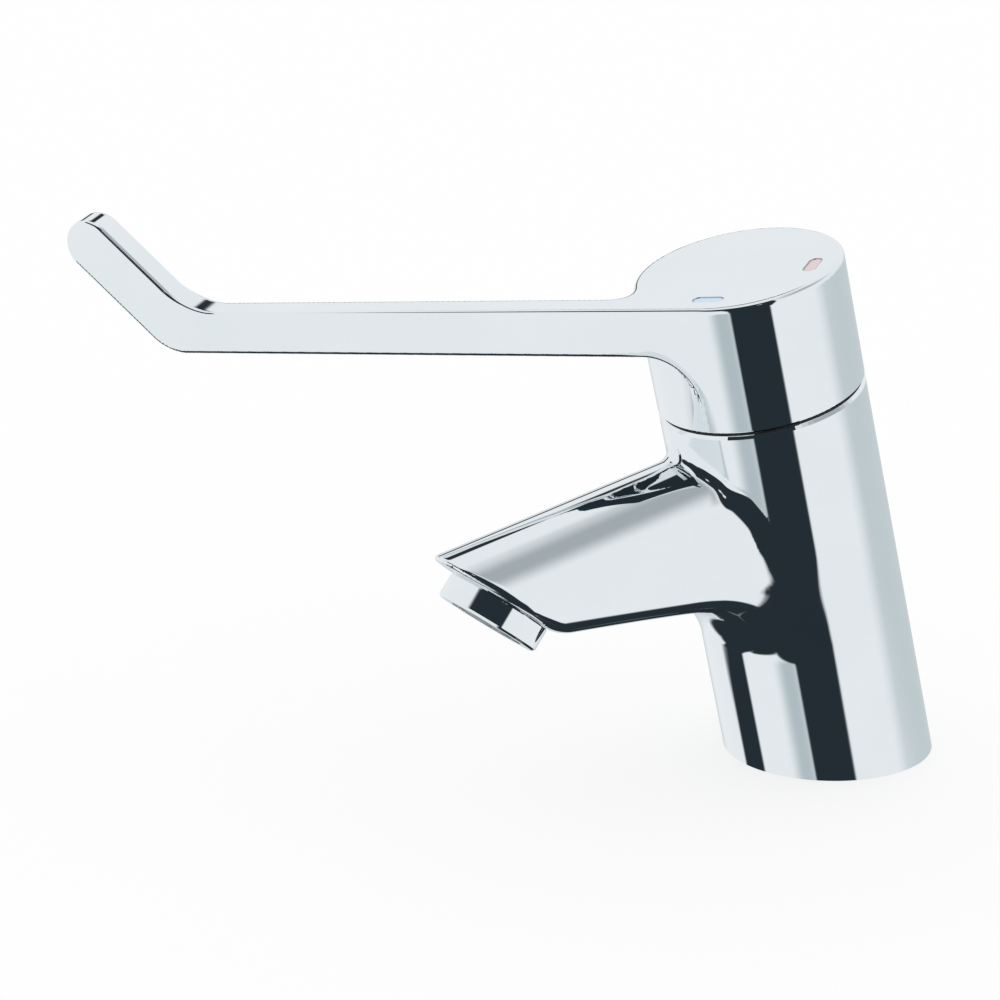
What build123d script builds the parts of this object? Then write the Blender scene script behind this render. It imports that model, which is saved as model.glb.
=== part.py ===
from build123d import *
import math
import os

# Elbow lever basin tap, in millimetres.
# World frame: origin at the middle of the body's foot on the deck, +Z up, the spout points along -Y.
# The body leans forward, so most pieces are drawn upright in the body's own frame, where Z is the
# body's axis and "front" counts forward from it, and are leaned over as the last step.

# Clearances shared by the fits
running_clearance = 0.05
seat_clearance = 0.1
thread_clearance = 0.1
overrun = 40.0

# Cartridge, from the discs outwards
disc_radius = 13.0
disc_thickness = 4.0
disc_key_width = 3.0
disc_key_depth = 1.6
disc_key_height = 2.5
disc_side_clearance = 0.4
housing_bore_radius = disc_radius + disc_side_clearance
cartridge_wall = 4.0
cartridge_radius = housing_bore_radius + cartridge_wall
cartridge_base_thickness = 5.0
housing_roof_thickness = 3.1
peg_radius = 1.75
peg_length = 3.0
peg_rim = 2.05
peg_side = cartridge_radius - peg_radius - peg_rim
port_radius = 3.2
inlet_port_inset = 5.0
inlet_port_back = 4.0
outlet_port_inset = 5.0
inlet_port_side = disc_radius - inlet_port_inset
outlet_port_front = disc_radius - outlet_port_inset
port_seal_outer_radius = 4.6
port_seal_inner_radius = 3.0
port_seal_thickness = 1.5
mixing_pocket_depth = 2.0
mixing_pocket_angle = 120.0
carrier_height = 6.0
carrier_tongue_depth = 3.5
tongue_width = 5.0

# Spindle and what is on it
spindle_radius = 5.0
spindle_collar_step = 2.5
spindle_collar_radius = spindle_radius + spindle_collar_step
spindle_collar_height = 1.5
spindle_square = 8.0
spindle_square_rise = 1.0
spindle_top_gap = 5.3
o_ring_section_radius = 0.9
o_ring_groove_depth = 1.3
o_ring_lower_rise = 4.0
o_ring_pitch = 4.0
clip_thickness = 0.8
clip_step = 1.6
clip_outer_radius = spindle_radius + clip_step
clip_groove_depth = 0.9
clip_opening = 4.0
thrust_washer_thickness = 0.8
thrust_washer_bore_gap = 1.0
thrust_washer_rim_gap = 1.9
thrust_washer_inner_radius = spindle_radius + thrust_washer_bore_gap
thrust_washer_outer_radius = housing_bore_radius - thrust_washer_rim_gap
neck_wall = 4.0
neck_radius = spindle_radius + neck_wall
neck_length = 13.0

# Stop: a raised sector on the neck and a tab under the stop ring
stop_height = 2.6
stop_clip_gap = 0.4
stop_inner_radius = clip_outer_radius + stop_clip_gap
stop_travel_angle = 120.0
stop_tab_angle = 30.0
stop_slack_angle = 2.0
stop_ring_step = 2.5
stop_ring_radius = neck_radius + stop_ring_step
stop_ring_thickness = 3.0

# Cartridge seat and nut
seat_side_clearance = 0.2
seat_radius = cartridge_radius + seat_side_clearance
nut_step = 0.8
nut_thread_radius = seat_radius + nut_step
nut_skirt_height = 5.5
nut_bore_gap = 0.6
nut_bore_radius = neck_radius + nut_bore_gap
nut_corner_inset = 3.4
nut_hex_radius = nut_thread_radius - nut_corner_inset
nut_hex_height = 4.5

# Glide ring in the gap between body and cap
glide_ring_thread_gap = 1.2
glide_ring_width = 3.0
glide_ring_inner_radius = nut_thread_radius + glide_ring_thread_gap
glide_ring_outer_radius = glide_ring_inner_radius + glide_ring_width
glide_ring_seat_depth = 1.5

# Body casting
lean_angle = 14.0
body_rim_wall = 1.8
body_radius = glide_ring_outer_radius + body_rim_wall
foot_spread = 0.6
foot_radius = body_radius + foot_spread
body_height = 95.3
body_rim_chamfer = 0.7

# Levels of the cartridge in the body, from the nut's seat down and up
nut_seat_depth = 6.3
nut_seat_height = body_height - nut_seat_depth
roof_low = nut_seat_height - housing_roof_thickness
carrier_top = roof_low - thrust_washer_thickness - running_clearance
moving_disc_top = carrier_top - carrier_height
moving_disc_low = moving_disc_top - disc_thickness
fixed_disc_top = moving_disc_low - running_clearance
base_top = fixed_disc_top - disc_thickness
seat_floor_height = base_top - cartridge_base_thickness
neck_top_height = nut_seat_height + neck_length
spindle_square_height = neck_top_height + spindle_square_rise
o_ring_lower_height = nut_seat_height + o_ring_lower_rise
o_ring_upper_height = o_ring_lower_height + o_ring_pitch
stop_ring_top = neck_top_height + stop_height + running_clearance + stop_ring_thickness

# Outlet thread, which sets the spout's width
outlet_thread_radius = 11.5
outlet_socket_depth = 7.5
outlet_wall = 2.5

# Spout, measured from the body's axis in the leaning frame
spout_reach = 92.5
spout_half_width = outlet_thread_radius + outlet_wall
ridge_drop = 7.1
ridge_rise = 4.2
ridge_height_root = body_height - ridge_drop
ridge_height_nose = ridge_height_root + ridge_rise
roof_fall_root = 4.0
roof_fall_nose = 4.9
shoulder_height_root = ridge_height_root - roof_fall_root
shoulder_height_nose = ridge_height_nose - roof_fall_nose
spout_depth_root = 43.3
spout_depth_nose = 20.9
underside_height_root = ridge_height_root - spout_depth_root
underside_height_nose = ridge_height_nose - spout_depth_nose
flare_width = 10.4
flare_under_depth = 23.0
underside_round_depth = 10.0
ridge_rounding = 4.0
shoulder_rounding = 4.5
spout_end_rounding = 1.5
spout_root_rounding = 3.0

# Where the spout flares into the body: distance forward in body radii, then the shares of the
# flare's width and of its depth under the spout
flare_shares = [
    (0.00, 0.78, 1.00),
    (0.53, 0.67, 0.85),
    (0.82, 0.41, 0.63),
    (1.11, 0.23, 0.33),
    (1.39, 0.10, 0.10),
    (1.76, 0.02, 0.00),
]
# How far down the side the flare stays narrow and where it is full, in shares of the side's height
flare_narrow_share = 0.15
flare_full_share = 0.35
# Plain stations further out, in shares of the spout's reach
plain_station_shares = [0.56, 0.65, 0.74, 0.83, 0.92, 1.01, 1.10]

# Outlet, where the aerator screws in
outlet_back = 13.4
outlet_drop = 16.9
outlet_front = spout_reach - outlet_back
outlet_height = ridge_height_nose - outlet_drop
outlet_tilt = 51.5

# Waterways
outlet_way_radius = 4.5
outlet_way_drop = 11.0
outlet_way_rise = 3.5
outlet_way_low_height = seat_floor_height - outlet_way_drop
outlet_way_high_height = outlet_height + outlet_way_rise

# Deck side
deck_wall = 7.5
deck_cavity_radius = foot_radius - deck_wall
deck_cavity_front_shift = 3.0
deck_cavity_height = 28.0
inlet_thread_radius = 4.46
inlet_thread_length = 16.0
inlet_knee_height = deck_cavity_height + inlet_thread_length
stud_thread_radius = 3.32
stud_thread_depth = 12.0
stud_back = 6.0
base_seal_width = 2.0
base_seal_height = 1.5
base_seal_rim = 3.0
base_seal_mean_radius = foot_radius - base_seal_rim - base_seal_width / 2
base_seal_front_shift = 1.5

# Handle: cap and lever
cap_gap = 0.6
cap_height = 30.9
cap_top_height = body_height + cap_gap + cap_height
cap_wall = 3.9
cap_roof = 4.5
handle_edge_rounding = 1.3
boss_wall = 4.0
boss_radius = spindle_radius + boss_wall
boss_foot_gap = 0.55
boss_foot_height = stop_ring_top + boss_foot_gap
spindle_top_height = cap_top_height - cap_roof - spindle_top_gap
lever_swing = -60.0
lever_thickness = 7.5
lever_bend_reach = 138.0
lever_height_root = 12.0
lever_height_bend = 11.0
paddle_angle = 50.0
paddle_width = 13.9
paddle_length = 36.0
bend_inner_radius = 17.0
bend_outer_radius = 12.0
web_foot_reach = 4.0
web_fillet_radius = 12.0

# Fixing of the handle
grub_radius = 2.0
grub_length = 5.0
grub_height = (boss_foot_height + spindle_top_height) / 2
grub_key_across_flats = 2.0
grub_key_depth = 2.5
plug_radius = 3.2
plug_thickness = 2.2
plug_dimple_radius = 1.2
plug_dimple_depth = 0.6

# Marks
mark_length = 7.6
mark_width = 3.2
mark_rim = 6.2
mark_radius = body_radius - mark_rim
mark_depth = 1.0
mark_recess = 0.2
cold_mark_turn = 91.0
hot_mark_turn = 183.0

# Aerator
collar_step = 1.0
collar_radius = outlet_thread_radius + collar_step
collar_height = 6.0
collar_chamfer = 0.5
aerator_wall = 1.6
aerator_bore_radius = outlet_thread_radius - aerator_wall
aerator_washer_thickness = 1.9
aerator_washer_step = 1.1
aerator_thread_length = outlet_socket_depth - aerator_washer_thickness
aerator_lip = 0.9
aerator_lip_height = 1.0
washer_inner_radius = aerator_bore_radius - aerator_washer_step
former_height = 5.4
former_hole_radius = 0.8
former_ring_count = 3
former_rim = 2.7
former_hole_pitch = (aerator_bore_radius - former_rim) / former_ring_count
regulator_height = 2.2
regulator_window_radius = 1.7
regulator_window_rim = 3.9
regulator_window_ring_radius = aerator_bore_radius - regulator_window_rim
regulator_window_count = 6
regulator_cone_radius = 3.0
strainer_height = 1.0
strainer_hole_radius = 0.55
strainer_ring_count = 5
strainer_rim = 1.4
strainer_hole_pitch = (aerator_bore_radius - strainer_rim) / strainer_ring_count

LOW = (Align.CENTER, Align.CENTER, Align.MIN)
HIGH = (Align.CENTER, Align.CENTER, Align.MAX)


def lean(shape):
    """Lean a piece of the body's own frame over into the world frame."""
    return Rot(lean_angle, 0, 0) * shape


def swing(shape):
    """Turn a piece of the handle's frame, where the lever points forward, to its rest place."""
    return lean(Rot(0, 0, lever_swing) * shape)


def rod(radius, low, high, side=0, front=0):
    """An upright cylinder between two heights."""
    return Pos(side, -front, low) * Cylinder(radius, high - low, align=LOW)


def ring(outer, inner, low, high, side=0, front=0):
    """An upright tube between two heights."""
    return rod(outer, low, high, side, front) - rod(inner, low, high, side, front)


def block(width, depth, low, high, side=0, front=0):
    """An upright box between two heights."""
    return Pos(side, -front, low) * Box(width, depth, high - low, align=LOW)


def torus(mean_radius, section_radius, height):
    """A lying O-ring."""
    return Pos(0, 0, height) * Torus(mean_radius, section_radius)


def sector(outer, inner, low, high, start, sweep):
    """An upright ring sector; angles run anticlockwise from the front."""
    profile = Pos((outer + inner) / 2, 0, (low + high) / 2) * Rot(90, 0, 0)
    face = profile * Rectangle(outer - inner, high - low)
    return Rot(0, 0, start - 90) * revolve(face, Axis.Z, sweep)


def share_between(start, end, share):
    return start + (end - start) * share


# Spout

def spout_sizes(front):
    """Ridge, shoulder and underside heights of the plain spout at a distance forward."""
    share = front / spout_reach
    ridge = share_between(ridge_height_root, ridge_height_nose, share)
    shoulder = share_between(shoulder_height_root, shoulder_height_nose, share)
    underside = share_between(underside_height_root, underside_height_nose, share)
    return ridge, shoulder, underside


def spout_section(front, half_width, underside, shoulder, ridge):
    """Gable roof, two sides that spread downwards and a round bottom, across the spout."""
    depth = underside_round_depth * half_width / spout_half_width
    bottom = underside + depth
    roof = Polyline((spout_half_width, shoulder), (0, ridge), (-spout_half_width, shoulder))
    narrow = share_between(shoulder, bottom, flare_narrow_share)
    full = share_between(shoulder, bottom, flare_full_share)
    sides = [
        Bezier((side * spout_half_width, shoulder), (side * spout_half_width, narrow),
               (side * half_width, full), (side * half_width, bottom))
        for side in (-1, 1)
    ]
    arc = EllipticalCenterArc((0, bottom), half_width, depth, 180, arc_size=180)
    face = make_face(Curve() + [roof, arc] + sides)
    corners = face.vertices().sort_by(Axis.Y)
    face = fillet(corners[-1], ridge_rounding)
    shoulders = [v for v in face.vertices() if abs(v.Y - shoulder) < seat_clearance]
    face = fillet(shoulders, shoulder_rounding)
    return Pos(0, -front, 0) * Rot(90, 0, 0) * face


def make_flared_spout():
    sections = []
    for front_share, width_share, under_share in flare_shares:
        front = body_radius * front_share
        ridge, shoulder, underside = spout_sizes(front)
        half_width = spout_half_width + flare_width * width_share
        underside -= flare_under_depth * under_share
        sections.append(spout_section(front, half_width, underside, shoulder, ridge))
    for share in plain_station_shares:
        front = spout_reach * share
        sizes = spout_sizes(front)
        sections.append(spout_section(front, spout_half_width, sizes[2], sizes[1], sizes[0]))
    return loft(sections)


def make_plain_spout():
    sections = []
    for front in (0, spout_reach * plain_station_shares[-1]):
        sizes = spout_sizes(front)
        sections.append(spout_section(front, spout_half_width, sizes[2], sizes[1], sizes[0]))
    return loft(sections, ruled=True)


def outlet_frame():
    """Place whose origin is the outlet's middle and whose +Z runs out of the spout."""
    return Pos(0, -outlet_front, outlet_height) * Rot(180 - outlet_tilt, 0, 0)


def make_body():
    height = body_height + overrun
    foot = foot_radius + (foot_radius - body_radius) * overrun / body_height
    shell = Pos(0, 0, -overrun) * Cone(foot, body_radius, height, align=LOW)
    beyond = outlet_frame() * Box(spout_reach, spout_reach, spout_reach, align=LOW)

    # the plain spout is rounded into the body first, then the flare is laid over it
    body = shell + (make_plain_spout() - beyond)
    wall = body.faces().filter_by(GeomType.CONE)[0]
    roots = wall.edges().filter_by(lambda edge: edge.geom_type not in (GeomType.CIRCLE, GeomType.LINE))
    body = fillet(roots, spout_root_rounding)
    body += make_flared_spout() - beyond
    end = body.faces().filter_by(GeomType.PLANE).sort_by(Axis.Y)[0]
    body = fillet(end.edges(), spout_end_rounding)
    rim = body.edges().filter_by(GeomType.CIRCLE).sort_by(Axis.Z)[-1]
    body = chamfer(rim, body_rim_chamfer)

    # cartridge seat, nut thread and the glide ring's step
    body -= rod(seat_radius, seat_floor_height, body_height + overrun)
    body -= rod(nut_thread_radius, nut_seat_height, body_height + overrun)
    body -= rod(glide_ring_outer_radius, body_height - glide_ring_seat_depth, body_height + overrun)
    for side in (-peg_side, peg_side):
        body -= rod(peg_radius + seat_clearance, seat_floor_height - peg_length - seat_clearance,
                    seat_floor_height, side)

    # outlet way: down from the seat, then up the spout to the aerator's socket
    body -= rod(outlet_way_radius, outlet_way_low_height, seat_floor_height, 0, outlet_port_front)
    start = Vector(0, -outlet_port_front, outlet_way_low_height)
    end = Vector(0, -outlet_front, outlet_way_high_height)
    way = end - start
    rise = math.degrees(math.atan2(way.Z, -way.Y))
    length = way.length - outlet_socket_depth
    body -= Pos(*start) * Rot(90 - rise, 0, 0) * Cylinder(outlet_way_radius, length, align=LOW)
    body -= Pos(*start) * Sphere(outlet_way_radius)
    body -= outlet_frame() * Cylinder(outlet_thread_radius, outlet_socket_depth, align=HIGH)

    # the two inlet ways, leaning down from the seat
    for side in (-inlet_port_side, inlet_port_side):
        body -= rod(port_radius, inlet_knee_height, seat_floor_height, side, -inlet_port_back)

    body = lean(body)
    body &= Box(4 * spout_reach, 4 * spout_reach, 4 * spout_reach, align=LOW)

    # upright deck side: cavity, inlet threads, stud thread and seal groove
    body -= Pos(0, -deck_cavity_front_shift, 0) * Cylinder(deck_cavity_radius, deck_cavity_height, align=LOW)
    knee = lean(Pos(inlet_port_side, inlet_port_back, inlet_knee_height)).position
    for side in (-inlet_port_side, inlet_port_side):
        body -= Pos(side, knee.Y, 0) * Cylinder(inlet_thread_radius, knee.Z, align=LOW)
    body -= Pos(0, stud_back, 0) * Cylinder(
        stud_thread_radius, deck_cavity_height + stud_thread_depth, align=LOW)
    body -= base_seal_blank(seat_clearance, 0)
    return body


def base_seal_blank(extra_width, extra_height):
    outer = base_seal_mean_radius + (base_seal_width + extra_width) / 2
    inner = base_seal_mean_radius - (base_seal_width + extra_width) / 2
    return Pos(0, -base_seal_front_shift, 0) * ring(outer, inner, 0, base_seal_height + extra_height)


# Cartridge

ports = {
    "hot": (-inlet_port_side, -inlet_port_back),
    "cold": (inlet_port_side, -inlet_port_back),
    "outlet": (0, outlet_port_front),
}


def disc_keys(width, low, high):
    """The two key bars at the disc's rim."""
    keys = Part()
    for side in (-1, 1):
        keys += block(disc_key_depth * 2, width, low, high, side * disc_radius)
    return keys


def make_cartridge_base():
    base = rod(cartridge_radius, seat_floor_height, base_top)
    for side in (-peg_side, peg_side):
        base += rod(peg_radius, seat_floor_height - peg_length, seat_floor_height, side)
    keys = disc_keys(disc_key_width, base_top, base_top + disc_key_height)
    base += keys & rod(disc_radius, base_top, base_top + disc_key_height)
    for side, front in ports.values():
        base -= rod(port_radius, seat_floor_height, base_top, side, front)
        base -= rod(port_seal_outer_radius, seat_floor_height,
                    seat_floor_height + port_seal_thickness, side, front)
        base -= rod(port_seal_outer_radius, base_top - port_seal_thickness, base_top, side, front)
    return lean(base)


def make_port_seal(port, low):
    side, front = ports[port]
    return lean(ring(port_seal_outer_radius, port_seal_inner_radius, low,
                     low + port_seal_thickness, side, front))


def make_fixed_disc():
    disc = rod(disc_radius, base_top, fixed_disc_top)
    disc -= disc_keys(disc_key_width + 2 * seat_clearance, base_top,
                      base_top + disc_key_height + seat_clearance)
    for side, front in ports.values():
        disc -= rod(port_radius, base_top, fixed_disc_top, side, front)
    return lean(disc)


def make_moving_disc():
    disc = rod(disc_radius, moving_disc_low, moving_disc_top)
    pocket = sector(outlet_port_front + port_radius, outlet_port_front - port_radius, moving_disc_low,
                    moving_disc_low + mixing_pocket_depth, -mixing_pocket_angle / 2,
                    mixing_pocket_angle)
    disc -= pocket
    disc -= disc_keys(disc_key_width + 2 * seat_clearance,
                      moving_disc_top - disc_key_height - seat_clearance, moving_disc_top)
    return swing(disc)


def make_disc_carrier():
    carrier = rod(disc_radius - seat_clearance, moving_disc_top, carrier_top)
    keys = disc_keys(disc_key_width, moving_disc_top - disc_key_height, moving_disc_top)
    carrier += keys & rod(disc_radius, moving_disc_top - disc_key_height, moving_disc_top)
    carrier -= rod(spindle_collar_radius + seat_clearance, carrier_top - spindle_collar_height,
                   carrier_top)
    slot_low = carrier_top - spindle_collar_height - carrier_tongue_depth
    carrier -= block(2 * spindle_radius + 2 * seat_clearance, tongue_width + 2 * seat_clearance,
                     slot_low, carrier_top)
    return swing(carrier)


def make_thrust_washer():
    low = carrier_top + running_clearance
    return lean(ring(thrust_washer_outer_radius, thrust_washer_inner_radius, low, roof_low))


def make_cartridge_housing():
    housing = rod(cartridge_radius, base_top, nut_seat_height)
    housing -= rod(housing_bore_radius, base_top, roof_low)
    housing += rod(neck_radius, nut_seat_height, neck_top_height)
    blocked = 360 - stop_travel_angle - stop_tab_angle - 2 * stop_slack_angle
    start = lever_swing + stop_travel_angle + stop_tab_angle / 2 + stop_slack_angle
    housing += sector(neck_radius, stop_inner_radius, neck_top_height,
                      neck_top_height + stop_height, start, blocked)
    housing -= rod(spindle_radius + running_clearance, base_top, neck_top_height)
    return lean(housing)


def make_spindle():
    collar_low = carrier_top - spindle_collar_height
    tongue_low = collar_low - carrier_tongue_depth
    spindle = rod(spindle_radius, collar_low, spindle_square_height)
    spindle += rod(spindle_collar_radius, collar_low, carrier_top)
    tongue = block(2 * spindle_radius, tongue_width, tongue_low, collar_low)
    spindle += tongue & rod(spindle_radius, tongue_low, collar_low)
    square = block(spindle_square, spindle_square, spindle_square_height, spindle_top_height)
    spindle += square & rod(spindle_radius, spindle_square_height, spindle_top_height)
    for height in (o_ring_lower_height, o_ring_upper_height):
        spindle -= ring(2 * spindle_radius, spindle_radius - o_ring_groove_depth,
                        height - o_ring_section_radius, height + o_ring_section_radius)
    clip_low = neck_top_height + running_clearance
    spindle -= ring(2 * spindle_radius, spindle_radius - clip_groove_depth, clip_low,
                    clip_low + clip_thickness)
    return swing(spindle)


def make_spindle_seal(height):
    mean = spindle_radius - o_ring_groove_depth + o_ring_section_radius
    return swing(torus(mean, o_ring_section_radius, height)
                 & rod(spindle_radius + running_clearance / 2, seat_floor_height, cap_top_height))


def make_spindle_clip():
    low = neck_top_height + running_clearance
    clip = ring(clip_outer_radius, spindle_radius - clip_groove_depth, low, low + clip_thickness)
    clip -= block(clip_opening, clip_outer_radius * 2, low, low + clip_thickness, 0,
                  clip_outer_radius)
    return swing(clip)


def make_stop_ring():
    low = stop_ring_top - stop_ring_thickness
    stop = rod(stop_ring_radius, low, stop_ring_top)
    tab_low = neck_top_height + running_clearance
    stop += sector(neck_radius, stop_inner_radius, tab_low, low, -stop_tab_angle / 2,
                   stop_tab_angle)
    bore = spindle_square + 2 * seat_clearance
    square = block(bore, bore, tab_low, stop_ring_top)
    stop -= square & rod(spindle_radius + seat_clearance, tab_low, stop_ring_top)
    return swing(stop)


def make_cartridge_nut():
    skirt_top = nut_seat_height + nut_skirt_height
    nut = rod(nut_thread_radius - thread_clearance, nut_seat_height, skirt_top)
    hexagon = RegularPolygon(nut_hex_radius, 6, major_radius=False)
    nut += Pos(0, 0, skirt_top) * extrude(hexagon, nut_hex_height)
    nut -= rod(nut_bore_radius, nut_seat_height, skirt_top + nut_hex_height)
    return lean(nut)


def make_glide_ring():
    low = body_height - glide_ring_seat_depth
    high = body_height + cap_gap - running_clearance
    outer = glide_ring_outer_radius - seat_clearance
    return lean(ring(outer, glide_ring_inner_radius, low, high))


# Handle, drawn with the lever forward and turned to its rest place

def flat(point):
    return point.X, point.Y


def lever_profile():
    """Side outline of lever, paddle and the web at its root, forward and up."""
    rise = math.radians(paddle_angle)
    along = Vector(math.cos(rise), math.sin(rise))
    across = Vector(math.sin(rise), -math.cos(rise))
    upper = Vector(lever_bend_reach, cap_top_height)
    lower_line = upper + across * paddle_width
    lower_height = cap_top_height - lever_height_bend
    lower = lower_line + along * ((lower_height - lower_line.Y) / along.Y)
    straight = paddle_length - paddle_width / 2
    end_upper = upper + along * straight
    end_lower = lower_line + along * straight
    tip = (end_upper + end_lower) / 2 + along * paddle_width / 2
    web_low = body_height + cap_gap
    web_top = cap_top_height - lever_height_root

    bottom = FilletPolyline(
        flat(end_lower),
        flat(lower),
        (web_foot_reach, web_top),
        (web_foot_reach, web_low),
        radius=[bend_outer_radius, web_fillet_radius],
    )
    top = FilletPolyline(
        (0, web_low),
        (0, cap_top_height),
        flat(upper),
        flat(end_upper),
        radius=[0, bend_inner_radius],
    )
    return bottom, top, end_upper, tip, end_lower


def make_lever():
    bottom, top, end_upper, tip, end_lower = lever_profile()
    nose = ThreePointArc(flat(end_upper), flat(tip), flat(end_lower))
    foot = Line(bottom @ 1, top @ 0)
    face = make_face(Curve() + [bottom, foot, top, nose])
    upright = Plane((body_radius, 0, 0), x_dir=(0, -1, 0), z_dir=(-1, 0, 0))
    blade = extrude(upright * face, lever_thickness)
    rounded = [edge for edge in blade.edges().filter_by(Axis.X, reverse=True)
               if edge.center().Y < -seat_clearance]
    return fillet(rounded, handle_edge_rounding)


def make_handle():
    low = body_height + cap_gap
    cap = rod(body_radius, low, cap_top_height)
    cap = fillet(cap.edges().filter_by(GeomType.CIRCLE), handle_edge_rounding)
    handle = cap + make_lever()
    cavity_top = cap_top_height - cap_roof
    handle -= rod(body_radius - cap_wall, low, cavity_top)
    boss = rod(boss_radius, boss_foot_height, cavity_top)
    bore = spindle_square + 2 * seat_clearance
    socket = block(bore, bore, boss_foot_height, spindle_top_height + seat_clearance)
    boss -= socket & rod(spindle_radius + seat_clearance, boss_foot_height,
                         spindle_top_height + seat_clearance)
    handle += boss
    grub_way = Pos(0, 0, grub_height) * Rot(0, -90, 0)
    handle -= grub_way * Cylinder(grub_radius, boss_radius, align=LOW)
    access = Pos(-boss_radius, 0, grub_height) * Rot(0, -90, 0)
    handle -= access * Cylinder(plug_radius, body_radius, align=LOW)
    for turn in (cold_mark_turn, hot_mark_turn):
        handle -= mark_blank(turn, mark_depth + mark_recess, 0)
    return swing(handle)


def mark_blank(turn, depth, sunk):
    """Inlay with round ends, lying along the rim; turn counts anticlockwise from the lever."""
    outline = SlotOverall(mark_length, mark_width)
    place = Rot(0, 0, turn) * Pos(0, -mark_radius, cap_top_height - sunk)
    return place * extrude(outline, -depth)


def make_mark(turn):
    return swing(mark_blank(turn, mark_depth, mark_recess))


def make_handle_screw():
    start = spindle_square / 2
    place = Pos(-start, 0, grub_height) * Rot(0, -90, 0)
    screw = Cylinder(grub_radius - thread_clearance, grub_length, align=LOW)
    key = RegularPolygon(grub_key_across_flats / 2, 6, major_radius=False)
    screw -= Pos(0, 0, grub_length) * extrude(key, -grub_key_depth)
    return swing(place * screw)


def make_screw_plug():
    place = Pos(-body_radius, 0, grub_height) * Rot(0, 90, 0)
    plug = Cylinder(plug_radius - seat_clearance / 2, plug_thickness, align=LOW)
    plug -= Cylinder(plug_dimple_radius, plug_dimple_depth, align=LOW)
    return swing(place * plug)


# Aerator, drawn with its axis upright: zero is the spout's end face and +Z runs out of the spout

def outlet_place(shape):
    return lean(outlet_frame() * shape)


def hole_field(radius, pitch, rings, low, high):
    """Round holes on hexagonal rings."""
    places = []
    for row in range(-rings, rings + 1):
        for column in range(-rings, rings + 1):
            if abs(row + column) <= rings:
                places.append((pitch * (column + row / 2), pitch * row * math.sqrt(3) / 2))
    holes = Sketch() + [Pos(*place) * Circle(radius) for place in places]
    return Pos(0, 0, low) * extrude(holes, high - low)


def make_aerator_housing():
    thread = outlet_thread_radius - thread_clearance
    housing = rod(thread, -aerator_thread_length, 0)
    collar = rod(collar_radius, 0, collar_height)
    collar = chamfer(collar.edges().filter_by(GeomType.CIRCLE), collar_chamfer)
    housing += collar
    housing -= rod(aerator_bore_radius, -aerator_thread_length, collar_height - aerator_lip_height)
    housing -= rod(aerator_bore_radius - aerator_lip, -aerator_thread_length, collar_height)
    return outlet_place(housing)


former_low = collar_height - aerator_lip_height - former_height
regulator_low = former_low - regulator_height
strainer_low = regulator_low - strainer_height


def make_stream_former():
    high = former_low + former_height
    former = rod(aerator_bore_radius - seat_clearance, former_low, high)
    former -= hole_field(former_hole_radius, former_hole_pitch, former_ring_count, former_low, high)
    return outlet_place(former)


def make_flow_regulator():
    high = regulator_low + regulator_height
    regulator = rod(aerator_bore_radius - seat_clearance, regulator_low, high)
    for turn in range(regulator_window_count):
        window = rod(regulator_window_radius, regulator_low, high, 0, regulator_window_ring_radius)
        regulator -= Rot(0, 0, turn * 360 / regulator_window_count) * window
    dish = Cone(regulator_cone_radius / 2, regulator_cone_radius, regulator_height / 2, align=HIGH)
    regulator -= Pos(0, 0, high) * dish
    return outlet_place(regulator)


def make_strainer():
    high = strainer_low + strainer_height
    strainer = rod(aerator_bore_radius - seat_clearance, strainer_low, high)
    strainer -= hole_field(strainer_hole_radius, strainer_hole_pitch, strainer_ring_count,
                           strainer_low, high)
    return outlet_place(strainer)


def make_aerator_washer():
    outer = outlet_thread_radius - thread_clearance
    return outlet_place(ring(outer, washer_inner_radius, -outlet_socket_depth, -aerator_thread_length))


nodes = {
    "body_casting": make_body(),
    "base_seal": base_seal_blank(0, 0),
    "cartridge_base": make_cartridge_base(),
    "fixed_disc": make_fixed_disc(),
    "moving_disc": make_moving_disc(),
    "disc_carrier": make_disc_carrier(),
    "thrust_washer": make_thrust_washer(),
    "cartridge_housing": make_cartridge_housing(),
    "spindle": make_spindle(),
    "spindle_seal_lower": make_spindle_seal(o_ring_lower_height),
    "spindle_seal_upper": make_spindle_seal(o_ring_upper_height),
    "spindle_clip": make_spindle_clip(),
    "stop_ring": make_stop_ring(),
    "cartridge_nut": make_cartridge_nut(),
    "glide_ring": make_glide_ring(),
    "handle_casting": make_handle(),
    "handle_screw": make_handle_screw(),
    "screw_plug": make_screw_plug(),
    "cold_mark": make_mark(cold_mark_turn),
    "hot_mark": make_mark(hot_mark_turn),
    "aerator_housing": make_aerator_housing(),
    "stream_former": make_stream_former(),
    "flow_regulator": make_flow_regulator(),
    "aerator_strainer": make_strainer(),
    "aerator_washer": make_aerator_washer(),
}
for port in ports:
    nodes["port_seal_" + port] = make_port_seal(port, seat_floor_height)
    nodes["disc_seal_" + port] = make_port_seal(port, base_top - port_seal_thickness)

os.makedirs("parts", exist_ok=True)
for name, shape in nodes.items():
    export_step(shape, "parts/" + name + ".step")
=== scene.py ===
import math

import bmesh
import bpy
import numpy as np
from mathutils import Matrix, Vector


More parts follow.
